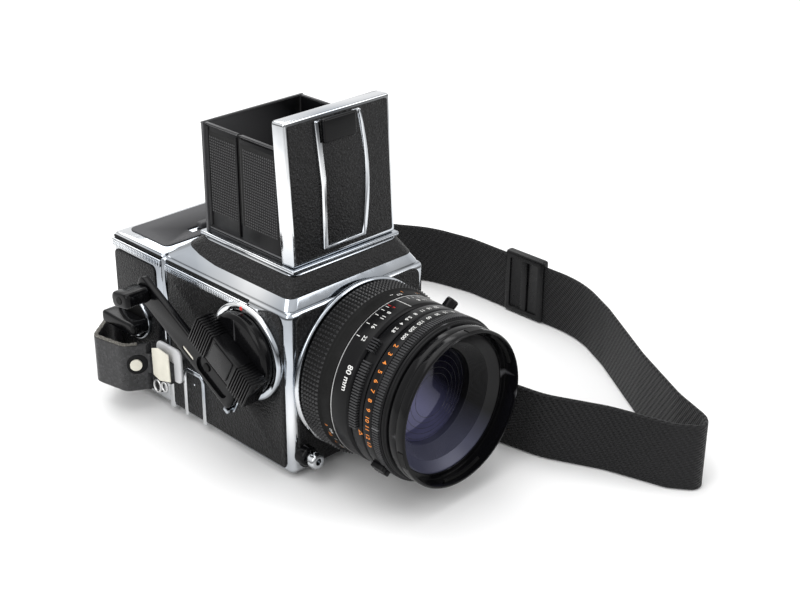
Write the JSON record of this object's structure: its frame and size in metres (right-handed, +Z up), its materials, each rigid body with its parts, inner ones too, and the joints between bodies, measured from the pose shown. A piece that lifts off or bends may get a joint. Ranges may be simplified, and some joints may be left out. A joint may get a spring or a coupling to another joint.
{
  "type": "medium format camera",
  "caption": "Waist-level medium format camera with interchangeable lens, film magazine, open folding hood, winding crank and neck strap.",
  "frame": {"origin": "mouth of the tripod socket, on the plane the camera stands on", "axes": "+Z up, -Y out through the lens, -X towards the winding crank"},
  "size_m": [0.2236, 0.3057, 0.1569],
  "materials": {
    "black_leather": "fine grained",
    "strap_leather": "smooth satin",
    "webbing": "woven",
    "chrome_trim": "polished",
    "alloy_casting": "satin",
    "black_metal": "satin black",
    "steel": "brushed",
    "rubber": "knurled matt",
    "black_plastic": "gloss",
    "glass": "coated",
    "mirror": "silvered"
  },
  "bodies": {
    "camera": {"base_plate": "steel", "body_shell": "alloy_casting", "cowl": "chrome_trim", "cowl_cover": "black_leather", "crank_side_cover": "black_leather", "depth_scale_ring": "black_metal", "focusing_screen": "glass", "front_cover": "black_leather", "hood_base": "chrome_trim", "hood_lid": "chrome_trim", "left_strap_leather": "strap_leather", "lens_core": "alloy_casting", "lens_mount_ring": "chrome_trim", "lid_centre_panel": "black_leather", "lid_leather": "black_leather", "lid_tab": "black_metal", "magazine_covers": "black_leather", "magazine_shell": "alloy_casting", "magazine_top_panel": "black_metal", "plain_side_cover": "black_leather", "rear_glass": "glass", "rear_panel": "black_metal", "release_housing": "black_metal", "right_strap_leather": "strap_leather", "strap_clips": "chrome_trim", "strap_lugs": "chrome_trim", "strap_slider": "black_plastic", "strap_webbing_back": "webbing", "strap_webbing_outer": "webbing", "winder_flange": "chrome_trim"},
    "left_leaf": {"left_leaf": "black_metal"},
    "right_leaf": {"right_leaf": "black_metal"},
    "magnifier": {"magnifier_frame": "black_metal", "magnifier_lens": "glass"},
    "mirror": {"mirror": "mirror", "mirror_frame": "black_metal"},
    "upper_flap": {"upper_flap": "black_metal"},
    "lower_flap": {"lower_flap": "black_metal"},
    "focus_ring": {"focus_ring": "rubber"},
    "front_barrel": {"front_barrel": "black_metal", "front_bezel": "black_metal", "front_glass": "glass"},
    "speed_ring": {"speed_ring": "black_metal"},
    "stop_ring": {"stop_ring": "black_metal"},
    "filter_ring": {"filter_ring": "black_metal"},
    "release_button": {"release_button": "chrome_trim"},
    "winder": {"winder_disc": "black_metal", "winder_shaft": "steel", "crank_pivot": "chrome_trim"},
    "crank_arm": {"crank_arm": "black_metal"},
    "crank_handle": {"crank_handle": "black_plastic"},
    "magazine_latch": {"magazine_latch": "chrome_trim"},
    "dark_slide": {"dark_slide": "chrome_trim"},
    "film_insert": {"film_insert": "alloy_casting"},
    "supply_spool": {"supply_spool": "black_plastic"},
    "takeup_spool": {"takeup_spool": "black_plastic"},
    "film_key": {"film_key": "black_metal", "film_key_wing": "black_metal"}
  },
  "joints": [
    {"name": "left_leaf_fold", "type": "hinge", "parent": "camera", "child": "left_leaf", "pos_m": [-0.027, 0, 0.096], "axis": [0, 1, 0], "range_deg": [0, 90]},
    {"name": "right_leaf_fold", "type": "hinge", "parent": "camera", "child": "right_leaf", "pos_m": [0.027, 0, 0.0984], "axis": [0, -1, 0], "range_deg": [0, 90]},
    {"name": "magnifier_swing", "type": "hinge", "parent": "camera", "child": "magnifier", "pos_m": [0, -0.0278, 0.1475], "axis": [1, 0, 0], "range_deg": [0, 90]},
    {"name": "mirror_flip", "type": "hinge", "parent": "camera", "child": "mirror", "pos_m": [0, 0.034, 0.0776], "axis": [-1, 0, 0], "range_deg": [0, 45]},
    {"name": "upper_flap_swing", "type": "hinge", "parent": "camera", "child": "upper_flap", "pos_m": [0, 0.0366, 0.0736], "axis": [-1, 0, 0], "range_deg": [0, 90]},
    {"name": "lower_flap_swing", "type": "hinge", "parent": "camera", "child": "lower_flap", "pos_m": [0, 0.0366, 0.0156], "axis": [1, 0, 0], "range_deg": [0, 90]},
    {"name": "focus_turn", "type": "hinge", "parent": "camera", "child": "focus_ring", "pos_m": [0, -0.06, 0.0444], "axis": [0, -1, 0], "range_deg": [0, 270]},
    {"name": "focus_travel", "type": "slide", "parent": "camera", "child": "front_barrel", "axis": [0, -1, 0], "range_m": [0, 0.0082]},
    {"name": "speed_turn", "type": "hinge", "parent": "front_barrel", "child": "speed_ring", "pos_m": [0, -0.06, 0.0444], "axis": [0, -1, 0], "range_deg": [0, 120]},
    {"name": "stop_turn", "type": "hinge", "parent": "front_barrel", "child": "stop_ring", "pos_m": [0, -0.06, 0.0444], "axis": [0, -1, 0], "range_deg": [0, 70]},
    {"name": "filter_turn", "type": "hinge", "parent": "front_barrel", "child": "filter_ring", "pos_m": [0, -0.06, 0.0444], "axis": [0, -1, 0], "range_deg": [0, 60]},
    {"name": "release_press", "type": "slide", "parent": "camera", "child": "release_button", "axis": [0, 1, 0], "range_m": [0, 0.0018], "stiffness_N_per_m": 300, "springref_m": -0.0005},
    {"name": "winder_turn", "type": "hinge", "parent": "camera", "child": "winder", "pos_m": [-0.045, -0.017, 0.054], "axis": [1, 0, 0], "continuous": true},
    {"name": "crank_unfold", "type": "hinge", "parent": "winder", "child": "crank_arm", "pos_m": [-0.051, -0.01741, 0.03411], "axis": [0, -0.4848, 0.8746], "range_deg": [0, 90]},
    {"name": "handle_spin", "type": "hinge", "parent": "crank_arm", "child": "crank_handle", "pos_m": [-0.06, 0.04032, 0.06611], "axis": [1, 0, 0], "continuous": true},
    {"name": "latch_slide", "type": "slide", "parent": "camera", "child": "magazine_latch", "axis": [1, 0, 0], "range_m": [0, 0.005]},
    {"name": "dark_slide_pull", "type": "slide", "parent": "camera", "child": "dark_slide", "axis": [1, 0, 0], "range_m": [0, 0.072]},
    {"name": "insert_pull", "type": "slide", "parent": "camera", "child": "film_insert", "axis": [1, 0, 0], "range_m": [0, 0.08]},
    {"name": "takeup_turn", "type": "hinge", "parent": "film_insert", "child": "takeup_spool", "pos_m": [0, 0.065, 0.062], "axis": [1, 0, 0], "continuous": true},
    {"name": "supply_turn", "type": "hinge", "parent": "film_insert", "child": "supply_spool", "pos_m": [0, 0.065, 0.022], "axis": [1, 0, 0], "continuous": true},
    {"name": "film_key_turn", "type": "hinge", "parent": "camera", "child": "film_key", "pos_m": [-0.043, 0.0646, 0.0415], "axis": [1, 0, 0], "continuous": true}
  ],
  "couplings": [
    {"joint": "upper_flap_swing", "follows": "mirror_flip", "ratio": 2},
    {"joint": "lower_flap_swing", "follows": "mirror_flip", "ratio": 2},
    {"joint": "focus_turn", "follows": "focus_travel", "rad_per_m": 574},
    {"joint": "supply_turn", "follows": "takeup_turn", "ratio": 1}
  ]
}
